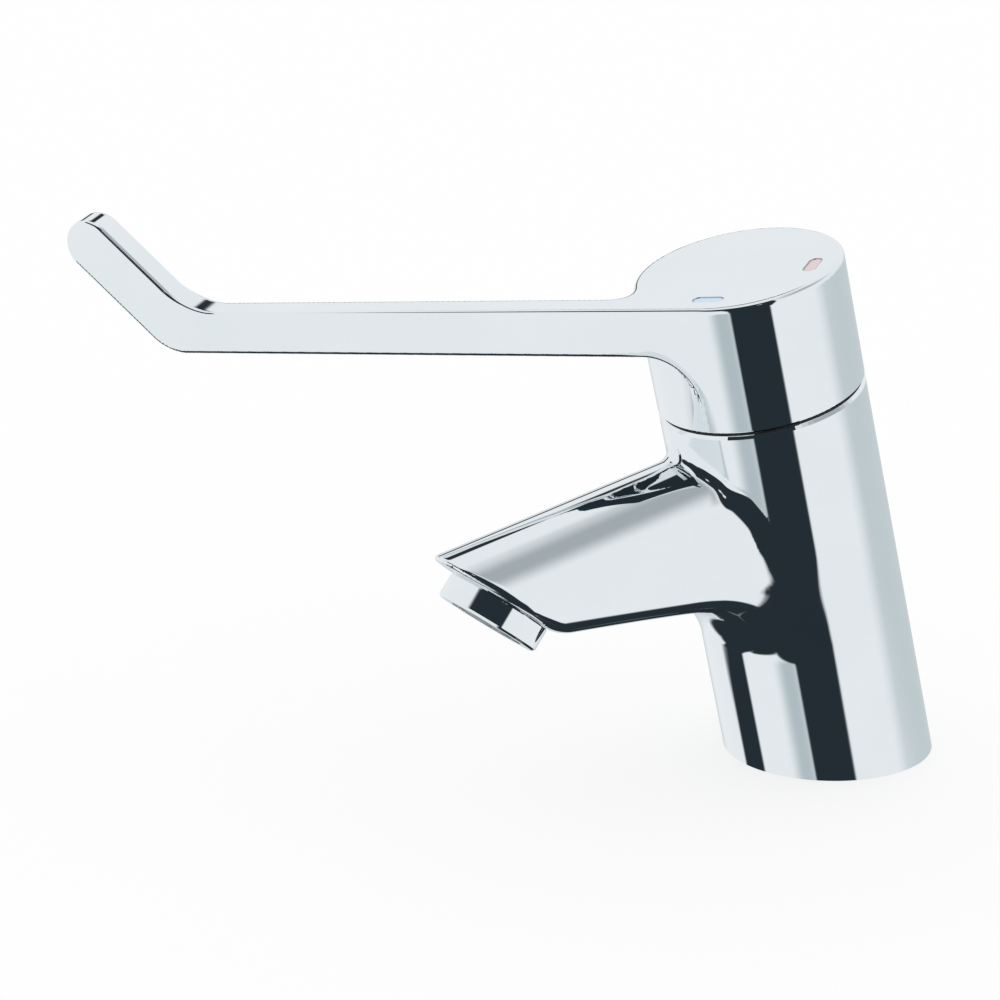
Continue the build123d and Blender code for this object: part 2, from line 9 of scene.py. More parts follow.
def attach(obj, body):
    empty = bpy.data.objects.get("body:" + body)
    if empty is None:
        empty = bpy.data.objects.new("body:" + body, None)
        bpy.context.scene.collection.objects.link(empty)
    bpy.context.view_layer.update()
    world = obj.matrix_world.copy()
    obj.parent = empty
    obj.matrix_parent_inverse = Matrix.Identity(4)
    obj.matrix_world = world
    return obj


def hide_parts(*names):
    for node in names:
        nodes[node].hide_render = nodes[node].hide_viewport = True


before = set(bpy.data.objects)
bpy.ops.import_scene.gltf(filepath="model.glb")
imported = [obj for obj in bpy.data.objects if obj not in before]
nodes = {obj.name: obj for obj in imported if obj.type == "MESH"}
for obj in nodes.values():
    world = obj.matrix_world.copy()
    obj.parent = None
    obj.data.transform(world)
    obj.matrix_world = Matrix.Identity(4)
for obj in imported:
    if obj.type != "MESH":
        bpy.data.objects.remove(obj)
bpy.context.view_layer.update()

# Sizes in mm: heights run up the leaning axis, fronts run from it towards the spout's end, and the lever's
# bend and web are measured out along the lever. Slopes, and the end's direction, are plain numbers.

MM = 0.001
LEAN = math.radians(14.0)
SWING = math.radians(-60.0)

BODY_RADIUS = 25.0
BODY_TAPER = 0.6
BODY_HEIGHT = 95.3

SPOUT_REACH = 92.5
SPOUT_HALF_WIDTH = 14.0
RIDGE_HEIGHT = 88.2
RIDGE_RISE = 4.2
ROOF_SLOPE = 0.4
UNDERSIDE_HEIGHT = 44.9
UNDERSIDE_RISE = 26.6
UNDERSIDE_COSINE = 0.97
OUTLET_FRONT = 79.1
OUTLET_HEIGHT = 75.5
OUTLET_TILT = math.radians(128.5)
END_FORWARD = 0.7826
END_DOWN = 0.6225

CAP_RADIUS = 24.4
CAP_BOTTOM = 93.0
CAP_TOP = 126.8
LEVER_ASIDE = 20.65
LEVER_HALF_WIDTH = 3.75
LEVER_DEPTH = 12.0
LEVER_TAPER = 1.0
LEVER_BEND = 138.0
PADDLE_TURN = math.radians(50.0)
PADDLE_DEPTH = 13.9
PADDLE_LENGTH = 36.0
WEB_FRONT = 4.0

MARK_OUT = 18.2
MARK_HALF_RUN = 2.2
MARK_RADIUS = 1.6
MARK_RIM = 0.55
MARK_DEPTH = 1.2
COLD_TURN = 91.0
HOT_TURN = 183.0

lean_turn = Matrix.Rotation(LEAN, 4, "X")
swing_turn = lean_turn @ Matrix.Rotation(SWING, 4, "Z")
outlet_place = Matrix.Translation((0.0, -OUTLET_FRONT * MM, OUTLET_HEIGHT * MM))
outlet_turn = lean_turn @ outlet_place @ Matrix.Rotation(OUTLET_TILT, 4, "X")

# The camera looks at the tap's right side, a little from above

SENSOR_WIDTH = 36.0
LENS = 110.0
CAMERA_PLACE = (0.55004, -0.44084, 0.27859)
CAMERA_TURN = 57.84
CAMERA_RISE = 17.17


def add_camera():
    data = bpy.data.cameras.new("view")
    data.sensor_width = SENSOR_WIDTH
    data.lens = LENS
    data.clip_start = 0.01
    camera = bpy.data.objects.new("view", data)
    bpy.context.scene.collection.objects.link(camera)
    turn = math.radians(CAMERA_TURN)
    rise = math.radians(CAMERA_RISE)
    right = Vector((math.cos(turn), math.sin(turn), 0.0))
    back = Vector((math.sin(turn) * math.cos(rise), -math.cos(turn) * math.cos(rise), math.sin(rise)))
    up = back.cross(right)
    place = Matrix((right, up, back)).transposed().to_4x4()
    place.translation = CAMERA_PLACE
    camera.matrix_world = place
    bpy.context.scene.camera = camera


add_camera()
bpy.context.scene.view_settings.view_transform = "Standard"


# Mesh helpers

ROUND_SEGMENTS = 96


def link_mesh(name, bm):
    mesh = bpy.data.meshes.new(name)
    bm.to_mesh(mesh)
    bm.free()
    piece = bpy.data.objects.new(name, mesh)
    bpy.context.scene.collection.objects.link(piece)
    return piece


def apply_modifiers(piece):
    graph = bpy.context.evaluated_depsgraph_get()
    finished = bpy.data.meshes.new_from_object(piece.evaluated_get(graph))
    piece.modifiers.clear()
    spare = piece.data
    piece.data = finished
    bpy.data.meshes.remove(spare)


def voxel_skin(piece, size):
    """One closed skin round overlapping blocks."""
    modifier = piece.modifiers.new("skin", "REMESH")
    modifier.mode = "VOXEL"
    modifier.voxel_size = size
    apply_modifiers(piece)


def mesh_points(mesh):
    """Where a mesh's vertices are, in mm."""
    place = np.empty(len(mesh.vertices) * 3, np.float32)
    mesh.vertices.foreach_get("co", place)
    return place.reshape(-1, 3).astype(float) / MM


def lathe(outline, matrix):
    """A closed turned shape from the (radius, height) points of its outline, in mm."""
    bm = bmesh.new()
    points = [bm.verts.new((radius * MM, 0.0, height * MM)) for radius, height in outline]
    edges = [bm.edges.new(pair) for pair in zip(points, points[1:])]
    bmesh.ops.spin(bm, geom=points + edges, cent=(0, 0, 0), axis=(0, 0, 1), angle=math.tau,
                   steps=ROUND_SEGMENTS, use_merge=True, use_duplicate=False)
    bmesh.ops.remove_doubles(bm, verts=bm.verts, dist=1e-6)
    bmesh.ops.transform(bm, matrix=matrix, verts=bm.verts)
    bmesh.ops.recalc_face_normals(bm, faces=bm.faces)
    return bm


def drill(radius, low, high):
    """The outline of a plain round cutter for the lathe."""
    return [(0, low), (radius, low), (radius, high), (0, high)]


def cut(piece, bm):
    """Take a closed shape out of a piece."""
    cutter = link_mesh("cutter", bm)
    modifier = piece.modifiers.new("cut", "BOOLEAN")
    modifier.operation = "DIFFERENCE"
    modifier.solver = "EXACT"
    modifier.object = cutter
    apply_modifiers(piece)
    spare = cutter.data
    bpy.data.objects.remove(cutter)
    bpy.data.meshes.remove(spare)


# Smooth surfaces: a field in mm is negative inside the casting, zero on its skin and positive outside

def smooth_and(a, b, radius):
    """What two shapes share, with the edge between them rounded."""
    rounded = np.hypot(a + radius, b + radius) - radius
    return np.where((a > -radius) & (b > -radius), rounded, np.maximum(a, b))


def smooth_or(a, b, radius):
    """Two shapes together, with the corner between them filled to a radius."""
    filled = radius - np.hypot(radius - a, radius - b)
    return np.where((a < radius) & (b < radius), filled, np.minimum(a, b))


def fillet(a, b, radius, along):
    """Two shapes together with a rolling-ball fillet; along is the cosine between their outward slopes."""
    along = np.clip(along, -0.99, 0.9999)
    from_a, from_b = radius - a, radius - b
    between = (from_a > from_b * along) & (from_b > from_a * along)
    away = (from_a ** 2 + from_b ** 2 - 2 * from_a * from_b * along) / (1 - along ** 2)
    return np.where(between, radius - np.sqrt(np.maximum(away, 0)), np.minimum(a, b))


def ease(value, start, end):
    """0 up to a start, 1 from an end on, and a smooth rise between them."""
    share = np.clip((value - start) / (end - start), 0, 1)
    return share * share * (3 - 2 * share)


def leaning(points):
    """Side, front and height of points, in the leaning tap's own frame."""
    back = points[:, 1] * math.cos(LEAN) + points[:, 2] * math.sin(LEAN)
    height = points[:, 2] * math.cos(LEAN) - points[:, 1] * math.sin(LEAN)
    return points[:, 0], -back, height


# The spout's flanks leave the body's wall straight, bend, then fade into the spout's own width

FLARE_START = 9.95
FLARE_START_SLOPE = 0.3
FLARE_BEND = 20
FLARE_BEND_WIDTH = 4.59
FLARE_BEND_SLOPE = 0.36
FLARE_CURVE = 0.00398
FLARE_FADE = 0.0784
FLARE_GONE = (56, 82)

# Near its root the underside hangs lower, by these shares of a drop at these fronts, evened over a window

UNDER_DROP = 9.0
UNDER_FRONT = (0, 8, 13, 18, 23, 28, 34, 60)
UNDER_SHARE = (1.0, 1.0, 0.85, 0.63, 0.33, 0.10, 0.0, 0.0)
UNDER_WINDOW = (-4.5, -3.0, -1.5, 0.0, 1.5, 3.0, 4.5)

# Roundings on the spout, and its corners with the body, which widen over a range of fronts and heights

ROOF_ROUNDING = 2.0
SHOULDER_ROUNDING = 10.0
BELLY_ROUNDING = 8.0
END_ROUNDING = 1.3
END_SIDE_ROUNDING = 1.4
FLANK_CORNER = 11.0
ROOF_CORNER = 4.5
UNDER_CORNER = 10.0
SHARP_CORNER = 0.05
CORNER_FRONTS = (9, 13)
CORNER_HEIGHTS = (50, 58)


def body_radius(height):
    return BODY_RADIUS - BODY_TAPER * height / BODY_HEIGHT


def flank_flare(front, height):
    """How far a flank stands outside the spout's own width, before the flare fades upwards."""
    wall = np.sqrt(np.maximum(body_radius(height) ** 2 - front * front, 1.0))
    straight = wall - SPOUT_HALF_WIDTH - FLARE_START_SLOPE * (FLARE_START - front)
    ahead = FLARE_BEND - front
    bent = FLARE_BEND_WIDTH + FLARE_BEND_SLOPE * ahead + FLARE_CURVE * ahead * ahead
    faded = FLARE_BEND_WIDTH * np.exp(-FLARE_FADE * np.maximum(-ahead, 0))
    return np.where(front < FLARE_START, straight, np.where(front < FLARE_BEND, bent, faded))


def under_drop(front):
    """How far the underside hangs below its straight line."""
    shares = [np.interp(front + shift, UNDER_FRONT, UNDER_SHARE) for shift in UNDER_WINDOW]
    return UNDER_DROP * (sum(shares) / len(shares))


def spout_field(side, front, height):
    """The spout alone, with its roof, flank and underside, each a field of its own."""
    share = front / SPOUT_REACH
    above_ridge = height - RIDGE_HEIGHT - RIDGE_RISE * share
    steep = 1 / math.hypot(1, ROOF_SLOPE)
    right_roof = (above_ridge + ROOF_SLOPE * side) * steep
    left_roof = (above_ridge - ROOF_SLOPE * side) * steep
    roof = smooth_and(right_roof, left_roof, ROOF_ROUNDING)
    flare = flank_flare(front, height) * (1 - ease(height, *FLARE_GONE))
    flank = np.abs(side) - SPOUT_HALF_WIDTH - flare
    underside = UNDERSIDE_HEIGHT + UNDERSIDE_RISE * share - under_drop(front)
    bottom = (underside - height) * UNDERSIDE_COSINE

    spout = smooth_and(roof, flank, SHOULDER_ROUNDING)
    spout = smooth_and(spout, bottom, BELLY_ROUNDING)
    end = (front - OUTLET_FRONT) * END_FORWARD + (OUTLET_HEIGHT - height) * END_DOWN
    spout = smooth_and(spout, end, END_ROUNDING + END_SIDE_ROUNDING * ease(np.abs(side), 4, 12))
    return np.where(front < 0, np.maximum(spout, -front), spout), roof, flank, bottom


def body_field(points):
    """The leaning body with its spout and the fillets at the spout's root."""
    side, front, height = leaning(points)
    around = np.hypot(side, front)
    cone = around - body_radius(height)
    spout, roof, flank, bottom = spout_field(side, front, height)
    step = 0.02
    slope_side = spout_field(side + step, front, height)[0] - spout
    slope_front = spout_field(side, front + step, height)[0] - spout
    slope_up = spout_field(side, front, height + step)[0] - spout
    steepness = np.maximum(np.sqrt(slope_side ** 2 + slope_front ** 2 + slope_up ** 2), 1e-9)
    along = (slope_side * side + slope_front * front) / np.maximum(around, 1e-9) / steepness

    # the corner is wide down the flanks, tighter over the roof and sharp at the lower sides
    corner = FLANK_CORNER + (ROOF_CORNER - FLANK_CORNER) * ease(roof - flank, -5, 2)
    corner = SHARP_CORNER + corner * ease(front, *CORNER_FRONTS) * ease(height, *CORNER_HEIGHTS)

    # below the spout the underside runs into the body in a corner of its own
    under = ease(bottom - flank, -5, 4) * ease(60 - height, 0, 8) * ease(front, 0, 20)
    return np.minimum(fillet(cone, spout, corner, along), smooth_or(cone, spout, 0.01 + UNDER_CORNER * under))


# Roundings on the handle

BEND_ROUNDING = 6.1
KNEE_ROUNDING = 4.3
WEB_ROUNDING = 12.0
EDGE_ROUNDING = 1.3
LEVER_FOOT_ROUNDING = 0.4
CAP_FOOT_ROUNDING = 0.6
BEHIND_ROUNDING = 7.0
BEHIND_START = 18.0
BEHIND_END = 21.0


def handle_field(points):
    """The round cap with its lever, web and bent-up paddle."""
    side, front, height = leaning(points)
    across = side * math.cos(SWING) - front * math.sin(SWING)
    along = side * math.sin(SWING) + front * math.cos(SWING)

    # side view: lever, web under its root and the paddle with its round end
    run, climb = along - LEVER_BEND, height - CAP_TOP
    offset = run * math.sin(PADDLE_TURN) - climb * math.cos(PADDLE_TURN)
    reach = run * math.cos(PADDLE_TURN) + climb * math.sin(PADDLE_TURN)
    upper = smooth_or(climb, -offset, BEND_ROUNDING)
    under = CAP_TOP - LEVER_DEPTH + LEVER_TAPER * along / LEVER_BEND - height
    lower = smooth_and(under, offset - PADDLE_DEPTH, KNEE_ROUNDING)
    lower = smooth_or(lower, along - WEB_FRONT, WEB_ROUNDING)
    profile = np.maximum(upper, lower)
    round_end = PADDLE_DEPTH / 2
    straight = PADDLE_LENGTH - round_end
    tip = np.hypot(np.maximum(reach - straight, 0), offset - round_end) - round_end
    profile = np.where(reach > straight, np.maximum(profile, tip), profile)

    # seen from above: the round cap and the lever's bar, filled out behind the lever
    disc = np.hypot(across, along) - CAP_RADIUS
    bar = np.maximum(np.abs(across - LEVER_ASIDE) - LEVER_HALF_WIDTH, -along)
    behind = 0.01 + BEHIND_ROUNDING * (1 - ease(across, BEHIND_START, BEHIND_END))
    plan = np.where(across > BEHIND_END, np.minimum(disc, bar), smooth_or(disc, bar, behind))
    foot = CAP_BOTTOM - height
    lever = smooth_and(smooth_and(profile, plan, EDGE_ROUNDING), foot, LEVER_FOOT_ROUNDING)
    cap = smooth_and(smooth_and(disc, climb, EDGE_ROUNDING), foot, CAP_FOOT_ROUNDING)
    return np.minimum(lever, cap)


# Fitting a mesh to a field, in mm, and the shares and counts of each round of smoothing. A face counts as
# lying on the skin within ON_SKIN of it, when its own normal agrees with the field's by this cosine.

PROBE = 0.01
LONGEST_MOVE = 2.0
SETTLE_ROUNDS = ((10, 4), (4, 4, 6))
SMOOTH_SHARE = 0.5
EVEN_SHARE = 0.6
EVEN_ROUNDS = 80
ON_SKIN = 0.08
AGREEING = 0.78


def slopes(field, points):
    """Which way a field rises, per mm."""
    gradient = np.empty_like(points)
    for axis in range(3):
        shift = np.zeros(3)
        shift[axis] = PROBE
        gradient[:, axis] = (field(points + shift) - field(points - shift)) / (2 * PROBE)
    return gradient


def settle(points, field, rounds):
    """Move points onto a field's skin."""
    for _ in range(rounds):
        gradient = slopes(field, points)
        steepness = np.maximum((gradient ** 2).sum(1), 0.05)
        move = np.clip(field(points) / steepness, -LONGEST_MOVE, LONGEST_MOVE)
        points = points - gradient * move[:, None]
    return points


def smooth_faces(mesh):
    """Even out a mesh's faces."""
    bm = bmesh.new()
    bm.from_mesh(mesh)
    for _ in range(2):
        bmesh.ops.smooth_vert(bm, verts=bm.verts, factor=SMOOTH_SHARE, use_axis_x=True, use_axis_y=True,
                              use_axis_z=True)
    bm.to_mesh(mesh)
    bm.free()


def fit_skin(piece, field, voxel):
    """Skin over a piece's rough blocks and settle it on a field's skin, then do both once more."""
    for passes in SETTLE_ROUNDS:
        voxel_skin(piece, voxel)
        mesh = piece.data
        for turn, rounds in enumerate(passes):
            if turn > 0:
                smooth_faces(mesh)
            points = settle(mesh_points(mesh), field, rounds)
            mesh.vertices.foreach_set("co", (points * MM).ravel())
        mesh.update()


def even_out(mesh, values, weight):
    """Average values with their neighbours', by each point's weight."""
    ends = np.empty(len(mesh.edges) * 2, np.int32)
    mesh.edges.foreach_get("vertices", ends)
    first, second = ends.reshape(-1, 2).T
    count = len(values)
    touching = np.maximum(np.bincount(first, minlength=count) + np.bincount(second, minlength=count), 1)
    for _ in range(EVEN_ROUNDS):
        total = np.stack([np.bincount(first, values[second, axis], count)
                          + np.bincount(second, values[first, axis], count) for axis in range(3)], axis=1)
        mean = total / touching[:, None]
        values = values + (mean - values) * (EVEN_SHARE * weight)[:, None]
    return values


def flank_root(points):
    """1 where the spout's flanks leave the body, fading to 0 away from there."""
    side, front, height = leaning(points)
    near = ease(front, 6, 10) * (1 - ease(front, 26, 34)) * ease(height, 38, 43) * (1 - ease(height, 60, 66))
    return near * ease(np.abs(side), 12, 15)


def unit(rows):
    return rows / np.maximum(np.linalg.norm(rows, axis=1), 1e-9)[:, None]


def shade_from_field(piece, field, calm=None):
    """On the field's skin a face takes the field's normals, evened out where calm says, elsewhere its own."""
    mesh = piece.data
    points = mesh_points(mesh)
    gradient = unit(slopes(field, points))
    on_skin = np.abs(field(points)) < ON_SKIN
    if calm is not None:
        gradient = unit(even_out(mesh, gradient, calm(points) * on_skin))
    mesh.shade_smooth()
    normals = np.empty((len(mesh.loops), 3))
    for face in mesh.polygons:
        own = np.array(face.normal)
        for loop in face.loop_indices:
            vertex = mesh.loops[loop].vertex_index
            exact = on_skin[vertex] and own @ gradient[vertex] > AGREEING
            normals[loop] = gradient[vertex] if exact else own
    mesh.normals_split_custom_set(normals.tolist())


# Body and handle castings. A cutter's outline is (radius, height) in mm; voxels and places are in metres.

BODY_VOXEL = 0.00065
HANDLE_VOXEL = 0.00055
CARTRIDGE_SEAT = [(0, 66.0), (17.6, 66.0), (17.6, 89.0), (18.4, 89.0), (18.4, 93.8), (22.6, 93.8),
                  (22.6, BODY_HEIGHT), (23.7, BODY_HEIGHT), (24.9, 94.1), (26.0, 94.1), (26.0, 108.0),
                  (0, 108.0)]
CAP_CAVITY = [(0, 90.0), (26.0, 90.0), (26.0, 98.1), (23.8, 95.9), (20.5, 95.9), (20.5, 122.3), (0, 122.3)]
OUTLET_SOCKET = drill(11.5, -7.5, 1.0)
DECK_CAVITY = drill(17.5, -1.0, 28.0)
DECK_CAVITY_PLACE = (0, -0.003, 0)
SEAL_GROOVE = [(20.0, -1.0), (22.05, -1.0), (22.05, 1.5), (20.0, 1.5), (20.0, -1.0)]
SEAL_GROOVE_PLACE = (0, -0.0015, 0)
SCREW_ACCESS = drill(3.2, 19.0, 26.0)
SCREW_PLACE = (0, 0, 0.1126)


def add_post(bm, low, high, foot_radius, top_radius):
    """A rough round post up the leaning axis."""
    middle = lean_turn @ Matrix.Translation((0, 0, (low + high) / 2 * MM))
    bmesh.ops.create_cone(bm, cap_ends=True, segments=ROUND_SEGMENTS, radius1=foot_radius * MM,
                          radius2=top_radius * MM, depth=(high - low) * MM, matrix=middle)


def add_block(bm, near, far, matrix, aside=0.0):
    """A rough block between two ends, each a lower and an upper edge as (half width, front, height)."""
    for corner in bmesh.ops.create_cube(bm, size=2.0)["verts"]:
        lower, upper = near if corner.co.y > 0 else far
        half_width, front, height = upper if corner.co.z > 0 else lower
        corner.co = matrix @ (Vector((aside + half_width * corner.co.x, -front, height)) * MM)


def body_blocks():
    """The body's post with a block for the spout; the post reaches past where it is trimmed and cut."""
    bm = bmesh.new()
    add_post(bm, -10.0, 105.0, 25.2, 24.3)
    add_block(bm, ((20.0, 5.0, 42.0), (14.0, 5.0, 88.4)), ((14.0, 71.5, 65.5), (14.0, 92.0, 92.3)), lean_turn)
    bmesh.ops.recalc_face_normals(bm, faces=bm.faces)
    return bm


def trim_below_deck(piece):
    """Cut a piece straight across at the deck and close it."""
    bm = bmesh.new()
    bm.from_mesh(piece.data)
    done = bmesh.ops.bisect_plane(bm, geom=bm.verts[:] + bm.edges[:] + bm.faces[:], dist=1e-7,
                                  plane_co=(0, 0, 0), plane_no=(0, 0, 1), clear_inner=True)
    edges = [item for item in done["geom_cut"] if isinstance(item, bmesh.types.BMEdge)]
    bmesh.ops.edgeloop_fill(bm, edges=edges)
    bm.to_mesh(piece.data)
    bm.free()


def make_body_shell():
    shell = link_mesh("body_shell", body_blocks())
    fit_skin(shell, body_field, BODY_VOXEL)
    trim_below_deck(shell)
    cut(shell, lathe(CARTRIDGE_SEAT, lean_turn))
    cut(shell, lathe(OUTLET_SOCKET, outlet_turn))
    cut(shell, lathe(DECK_CAVITY, Matrix.Translation(DECK_CAVITY_PLACE)))
    cut(shell, lathe(SEAL_GROOVE, Matrix.Translation(SEAL_GROOVE_PLACE)))
    return shell


def handle_blocks():
    """The cap's post with blocks for the web, the lever's bar and the paddle."""
    bm = bmesh.new()
    add_post(bm, CAP_BOTTOM, CAP_TOP, CAP_RADIUS, CAP_RADIUS)
    wide = LEVER_HALF_WIDTH
    web = ((wide, 0, CAP_BOTTOM), (wide, 0, CAP_TOP)), ((wide, 4, CAP_BOTTOM), (wide, 5, CAP_TOP))
    bar = ((wide, 0, 113), (wide, 0, CAP_TOP)), ((wide, 150, 116), (wide, LEVER_BEND, CAP_TOP))
    paddle = ((wide, 147, 116), (wide, 134, 127)), ((wide, 171, 145), (wide, 160, 154))
    for near, far in (web, bar, paddle):
        add_block(bm, near, far, swing_turn, LEVER_ASIDE)
    bmesh.ops.recalc_face_normals(bm, faces=bm.faces)
    return bm


def mark_place(turn, height):
    """Where a mark sits: so many degrees round the cap from the lever, at a height."""
    out = Matrix.Translation((0, -MARK_OUT * MM, height * MM))
    return swing_turn @ Matrix.Rotation(math.radians(turn), 4, "Z") @ out


def mark_cutter(turn):
    """The pocket of one mark in the cap's top."""
    bm = bmesh.new()
    bmesh.ops.create_circle(bm, cap_ends=True, segments=48, radius=MARK_RADIUS * MM)
    for corner in bm.verts:
        corner.co.x += math.copysign(MARK_HALF_RUN * MM, corner.co.x)
    sides = bmesh.ops.extrude_face_region(bm, geom=bm.faces[:])["geom"]
    raised = [item for item in sides if isinstance(item, bmesh.types.BMVert)]
    bmesh.ops.translate(bm, verts=raised, vec=(0, 0, 2 * MARK_DEPTH * MM))
    bmesh.ops.transform(bm, matrix=mark_place(turn, CAP_TOP - MARK_DEPTH), verts=bm.verts)
    bmesh.ops.recalc_face_normals(bm, faces=bm.faces)
    return bm


def make_handle_shell():
    shell = link_mesh("handle_shell", handle_blocks())
    fit_skin(shell, handle_field, HANDLE_VOXEL)
    cut(shell, lathe(CAP_CAVITY, lean_turn))
    for turn in (COLD_TURN, HOT_TURN):
        cut(shell, mark_cutter(turn))
    sideways = Matrix.Rotation(math.radians(-90), 4, "Y")
    cut(shell, lathe(SCREW_ACCESS, swing_turn @ Matrix.Translation(SCREW_PLACE) @ sideways))
    return shell


# Materials

def new_group(name, inputs, output):
    """A node group with one number out; inputs are (name, default), and a default of None takes a vector."""
    group = bpy.data.node_groups.new(name, "ShaderNodeTree")
    for label, value in inputs:
        kind = "NodeSocketVector" if value is None else "NodeSocketFloat"
        socket = group.interface.new_socket(name=label, in_out="INPUT", socket_type=kind)
        if value is not None:
            socket.default_value = value
    group.interface.new_socket(name=output, in_out="OUTPUT", socket_type="NodeSocketFloat")
    return group, group.nodes.new("NodeGroupInput"), group.nodes.new("NodeGroupOutput")


def math_node(tree, operation, first, second=None, clamp=False):
    node = tree.nodes.new("ShaderNodeMath")
    node.operation = operation
    node.use_clamp = clamp
    for socket, value in zip(node.inputs, (first, second)):
        if isinstance(value, (int, float)):
            socket.default_value = value
        elif value is not None:
            tree.links.new(value, socket)
    return node.outputs["Value"]


def noise_node(tree, vector, scale, detail):
    node = tree.nodes.new("ShaderNodeTexNoise")
    node.inputs["Detail"].default_value = detail
    tree.links.new(vector, node.inputs["Vector"])
    tree.links.new(scale, node.inputs["Scale"])
    return node.outputs["Fac"]


def handled_surface_group():
    """Faint uneven sheen: broad patches with fine wiping marks, as a share from 0 to 1."""
    inputs = [("Vector", None), ("Patch Scale", 40.0), ("Fine Scale", 900.0), ("Fine Share", 0.3)]
    group, start, end = new_group("handled_surface", inputs, "Share")
    broad = noise_node(group, start.outputs["Vector"], start.outputs["Patch Scale"], 3.0)
    fine = noise_node(group, start.outputs["Vector"], start.outputs["Fine Scale"], 2.0)
    mixed = math_node(group, "MULTIPLY", math_node(group, "SUBTRACT", fine, 0.5), start.outputs["Fine Share"])
    total = math_node(group, "ADD", broad, mixed, clamp=True)
    group.links.new(total, end.inputs["Share"])
    return group


def grain_group():
    """Moulding grain as a height from 0 to 1."""
    group, start, end = new_group("moulded_grain", [("Vector", None), ("Scale", 2500.0)], "Height")
    grain = noise_node(group, start.outputs["Vector"], start.outputs["Scale"], 4.0)
    group.links.new(grain, end.inputs["Height"])
    return group


def turned_rings_group():
    """Fine rings left by a lathe round the Z axis of the vector, as a height from 0 to 1."""
    group, start, end = new_group("turned_rings", [("Vector", None), ("Rings", 9000.0)], "Height")
    parts = group.nodes.new("ShaderNodeSeparateXYZ")
    group.links.new(start.outputs["Vector"], parts.inputs["Vector"])
    square = math_node(group, "MULTIPLY", parts.outputs["X"], parts.outputs["X"])
    other = math_node(group, "MULTIPLY", parts.outputs["Y"], parts.outputs["Y"])
    radius = math_node(group, "SQRT", math_node(group, "ADD", square, other))
    travel = math_node(group, "ADD", radius, parts.outputs["Z"])
    wave = math_node(group, "SINE", math_node(group, "MULTIPLY", travel, start.outputs["Rings"]))
    height = math_node(group, "MULTIPLY", math_node(group, "ADD", wave, 1.0), 0.5)
    group.links.new(height, end.inputs["Height"])
    return group


def enamel_rim_group():
    """0 in the middle of a round-ended inlay lying along X, 1 at its edge; sizes in metres."""
    inputs = [("Vector", None), ("Half Run", 0.0022), ("Radius", 0.0016), ("Rim", 0.0004)]
    group, start, end = new_group("enamel_rim", inputs, "Mask")
    parts = group.nodes.new("ShaderNodeSeparateXYZ")
    group.links.new(start.outputs["Vector"], parts.inputs["Vector"])
    run = math_node(group, "ABSOLUTE", parts.outputs["X"])
    run = math_node(group, "SUBTRACT", run, start.outputs["Half Run"])
    run = math_node(group, "MAXIMUM", run, 0.0)
    first = math_node(group, "MULTIPLY", run, run)
    second = math_node(group, "MULTIPLY", parts.outputs["Y"], parts.outputs["Y"])
    away = math_node(group, "SQRT", math_node(group, "ADD", first, second))
    inner = math_node(group, "SUBTRACT", start.outputs["Radius"], start.outputs["Rim"])
    depth = math_node(group, "SUBTRACT", away, inner)
    mask = math_node(group, "DIVIDE", depth, start.outputs["Rim"], clamp=True)
    group.links.new(mask, end.inputs["Mask"])
    return group


handled_surface = handled_surface_group()
moulded_grain = grain_group()
turned_rings = turned_rings_group()
enamel_rim = enamel_rim_group()


def place_group(tree, group, vector, **values):
    """Use a node group in a tree; the values are its inputs, with _ for a space in their names."""
    node = tree.nodes.new("ShaderNodeGroup")
    node.node_tree = group
    tree.links.new(vector, node.inputs["Vector"])
    for label, value in values.items():
        node.inputs[label.replace("_", " ")].default_value = value
    return node.outputs[0]


def new_material(name, matrix=None):
    """A Principled material with its Object coordinates, read in a piece's own frame where it has one."""
    material = bpy.data.materials.new(name)
    material.use_nodes = True
    tree = material.node_tree
    vector = tree.nodes.new("ShaderNodeTexCoord").outputs["Object"]
    if matrix is not None:
        mapping = tree.nodes.new("ShaderNodeMapping")
        inverse = matrix.inverted()
        mapping.inputs["Location"].default_value = inverse.to_translation()
        mapping.inputs["Rotation"].default_value = inverse.to_euler()
        tree.links.new(vector, mapping.inputs["Vector"])
        vector = mapping.outputs["Vector"]
    return material, tree, tree.nodes["Principled BSDF"], vector


def spread(tree, share, low, high, socket):
    """Turn a share into a value between two ends, or a colour between two colours."""
    if isinstance(low, tuple):
        ramp = tree.nodes.new("ShaderNodeValToRGB")
        ramp.color_ramp.elements[0].color = (*low, 1.0)
        ramp.color_ramp.elements[1].color = (*high, 1.0)
        ramp.color_ramp.elements[0].position = 0.25
        ramp.color_ramp.elements[1].position = 0.75
        tree.links.new(share, ramp.inputs["Fac"])
        tree.links.new(ramp.outputs["Color"], socket)
        return
    node = tree.nodes.new("ShaderNodeMapRange")
    node.inputs["To Min"].default_value = low
    node.inputs["To Max"].default_value = high
    tree.links.new(share, node.inputs["Value"])
    tree.links.new(node.outputs["Result"], socket)


def add_bump(tree, shader, height, strength, distance):
    bump = tree.nodes.new("ShaderNodeBump")
    bump.inputs["Strength"].default_value = strength
    bump.inputs["Distance"].default_value = distance
    tree.links.new(height, bump.inputs["Height"])
    tree.links.new(bump.outputs["Normal"], shader.inputs["Normal"])


def polished_metal(name, dull, bright, smooth, rough):
    """Plated metal that shows the room; wiping leaves its shine slightly uneven."""
    material, tree, shader, vector = new_material(name)
    shader.inputs["Metallic"].default_value = 1.0
    share = place_group(tree, handled_surface, vector, Patch_Scale=35.0, Fine_Scale=700.0, Fine_Share=0.25)
    spread(tree, share, dull, bright, shader.inputs["Base Color"])
    spread(tree, share, smooth, rough, shader.inputs["Roughness"])
    return material


